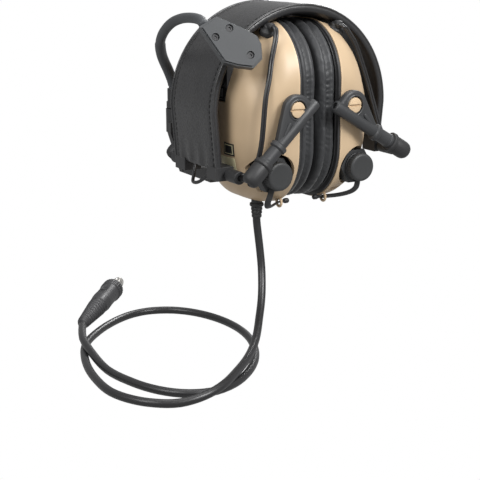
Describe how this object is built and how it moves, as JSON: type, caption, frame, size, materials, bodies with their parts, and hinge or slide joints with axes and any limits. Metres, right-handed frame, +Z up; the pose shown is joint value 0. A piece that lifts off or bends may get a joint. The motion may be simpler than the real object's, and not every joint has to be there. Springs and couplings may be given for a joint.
{
  "type": "radio headset",
  "caption": "Over-ear radio headset with two tan cups folded face to face inside a wide sprung leather headband, boom microphone, battery caps and a plug on a looped cable.",
  "frame": {"origin": "middle of the underside of the headband's crown, where the headset is held up", "axes": "+Z up through the crown, +Y towards the wearer's front, +X towards the wearer's right; the part is stored folded, cups face to face"},
  "size_m": [0.195, 0.1894, 0.1914],
  "materials": {
    "band_leather": "pebbled black leather",
    "black_moulding": "fine matte moulding",
    "arm_moulding": "satin moulding",
    "boot_rubber": "matte rubber",
    "wire_steel": "blackened spring steel",
    "tan_shell": "satin moulding",
    "tan_screw": "satin paint",
    "cushion_vinyl": "soft creased vinyl",
    "foam_grey": "open-cell foam",
    "speaker_metal": "satin",
    "board_green": "satin resist",
    "battery_silver": "satin sleeve",
    "cap_plastic": "fine matte moulding",
    "tether_rubber": "matte rubber",
    "thin_cable": "matte jacket",
    "key_rubber": "matte rubber",
    "boom_sleeve": "matte grey sleeve",
    "mic_plastic": "grey matte moulding",
    "screw_steel": "plain steel",
    "cable_pvc": "glossy jacket",
    "plug_rubber": "moulded overmould",
    "plug_metal": "nickel plate"
  },
  "bodies": {
    "crown": {"headband_crown": "band_leather"},
    "left_half": {"left_band_cover": "band_leather", "left_band_wires": "wire_steel", "left_band_clips": "black_moulding"},
    "left_fold": {"left_fold_wires": "wire_steel", "left_wire_sleeves": "boot_rubber"},
    "left_yoke": {"left_rear_arm": "arm_moulding", "left_front_arm": "arm_moulding", "left_rear_boot": "boot_rubber", "left_front_boot": "boot_rubber"},
    "left_cup": {"left_shell": "tan_shell", "left_tether_eyelet": "tan_shell", "left_baffle_plate": "black_moulding", "left_cushion": "cushion_vinyl", "left_foam": "foam_grey", "left_speaker": "speaker_metal", "left_pivot_screws": "tan_screw", "left_battery_holder": "cap_plastic", "left_battery": "battery_silver", "left_cap_tether": "tether_rubber", "left_link_grommet": "boot_rubber", "left_link_cable": "thin_cable", "left_circuit_board": "board_green", "keypad_bezel": "black_moulding", "boom_bracket": "black_moulding", "cable_gland": "boot_rubber", "radio_cable": "cable_pvc", "radio_plug_body": "plug_rubber", "radio_plug_tip": "plug_metal"},
    "left_cap": {"left_battery_cap": "cap_plastic"},
    "right_half": {"right_band_cover": "band_leather", "right_band_wires": "wire_steel", "right_band_clips": "black_moulding"},
    "right_fold": {"right_fold_wires": "wire_steel", "right_wire_sleeves": "boot_rubber"},
    "right_yoke": {"right_rear_arm": "arm_moulding", "right_front_arm": "arm_moulding", "right_rear_boot": "boot_rubber", "right_front_boot": "boot_rubber"},
    "right_cup": {"right_shell": "tan_shell", "right_tether_eyelet": "tan_shell", "right_baffle_plate": "black_moulding", "right_cushion": "cushion_vinyl", "right_foam": "foam_grey", "right_speaker": "speaker_metal", "right_pivot_screws": "tan_screw", "right_battery_holder": "cap_plastic", "right_battery": "battery_silver", "right_cap_tether": "tether_rubber", "right_link_grommet": "boot_rubber", "right_link_cable": "thin_cable"},
    "right_cap": {"right_battery_cap": "cap_plastic"},
    "upper_key": {"upper_button": "key_rubber"},
    "middle_key": {"middle_button": "key_rubber"},
    "lower_key": {"lower_button": "key_rubber"},
    "boom": {"boom_ferrule": "black_moulding", "gooseneck": "boom_sleeve", "mic_cover": "mic_plastic", "mic_base": "mic_plastic", "mic_cover_screws": "screw_steel"}
  },
  "joints": [
    {"name": "left_spread", "type": "hinge", "parent": "crown", "child": "left_half", "pos_m": [-0.008, 0, 0.00142], "axis": [0, 1, 0], "range_deg": [0, 42]},
    {"name": "right_spread", "type": "hinge", "parent": "crown", "child": "right_half", "pos_m": [0.008, 0, 0.00142], "axis": [0, 1, 0], "range_deg": [-42, 0]},
    {"name": "left_fold", "type": "hinge", "parent": "left_half", "child": "left_fold", "pos_m": [-0.04742, 0, -0.08627], "axis": [0, 1, 0], "range_deg": [0, 80]},
    {"name": "right_fold", "type": "hinge", "parent": "right_half", "child": "right_fold", "pos_m": [0.05484, 0, -0.07884], "axis": [0, 1, 0], "range_deg": [-80, 0]},
    {"name": "left_slide", "type": "slide", "parent": "left_fold", "child": "left_yoke", "axis": [0.7193, 0, 0.6947], "range_m": [0, 0.0081]},
    {"name": "right_slide", "type": "slide", "parent": "right_fold", "child": "right_yoke", "axis": [-0.8572, 0, 0.515], "range_m": [0, 0.0081]},
    {"name": "left_cup_pivot", "type": "hinge", "parent": "left_yoke", "child": "left_cup", "pos_m": [-0.0185, 0, -0.05], "axis": [0, 1, 0], "range_deg": [-122, 0], "deforming": ["left_link_cable"]},
    {"name": "right_cup_pivot", "type": "hinge", "parent": "right_yoke", "child": "right_cup", "pos_m": [0.0185, 0, -0.05], "axis": [0, 1, 0], "range_deg": [0, 122], "deforming": ["right_link_cable"]},
    {"name": "left_cap_turn", "type": "hinge", "parent": "left_cup", "child": "left_cap", "pos_m": [-0.027, -0.0448, -0.086], "axis": [0, 1, 0], "range_deg": [0, 270]},
    {"name": "right_cap_turn", "type": "hinge", "parent": "right_cup", "child": "right_cap", "pos_m": [0.027, -0.0448, -0.086], "axis": [0, 1, 0], "range_deg": [0, 270]},
    {"name": "upper_key_press", "type": "slide", "parent": "left_cup", "child": "upper_key", "axis": [1, 0, 0], "range_m": [0, 0.0007], "stiffness_N_per_m": 400},
    {"name": "middle_key_press", "type": "slide", "parent": "left_cup", "child": "middle_key", "axis": [1, 0, 0], "range_m": [0, 0.0007], "stiffness_N_per_m": 400},
    {"name": "lower_key_press", "type": "slide", "parent": "left_cup", "child": "lower_key", "axis": [1, 0, 0], "range_m": [0, 0.0007], "stiffness_N_per_m": 400},
    {"name": "boom_swing", "type": "hinge", "parent": "left_cup", "child": "boom", "pos_m": [-0.0405, 0.054, -0.054], "axis": [0, 0, -1], "range_deg": [0, 126]}
  ],
  "couplings": [
    {"joint": "right_spread", "follows": "left_spread", "ratio": -1},
    {"joint": "left_fold", "follows": "left_spread", "ratio": 1.9},
    {"joint": "right_fold", "follows": "left_spread", "ratio": -1.9},
    {"joint": "left_slide", "follows": "left_spread", "m_per_rad": 0.0109},
    {"joint": "right_slide", "follows": "left_spread", "m_per_rad": 0.0109},
    {"joint": "left_cup_pivot", "follows": "left_spread", "ratio": -2.9},
    {"joint": "right_cup_pivot", "follows": "left_spread", "ratio": 2.9},
    {"joint": "boom_swing", "follows": "left_spread", "ratio": 3}
  ]
}
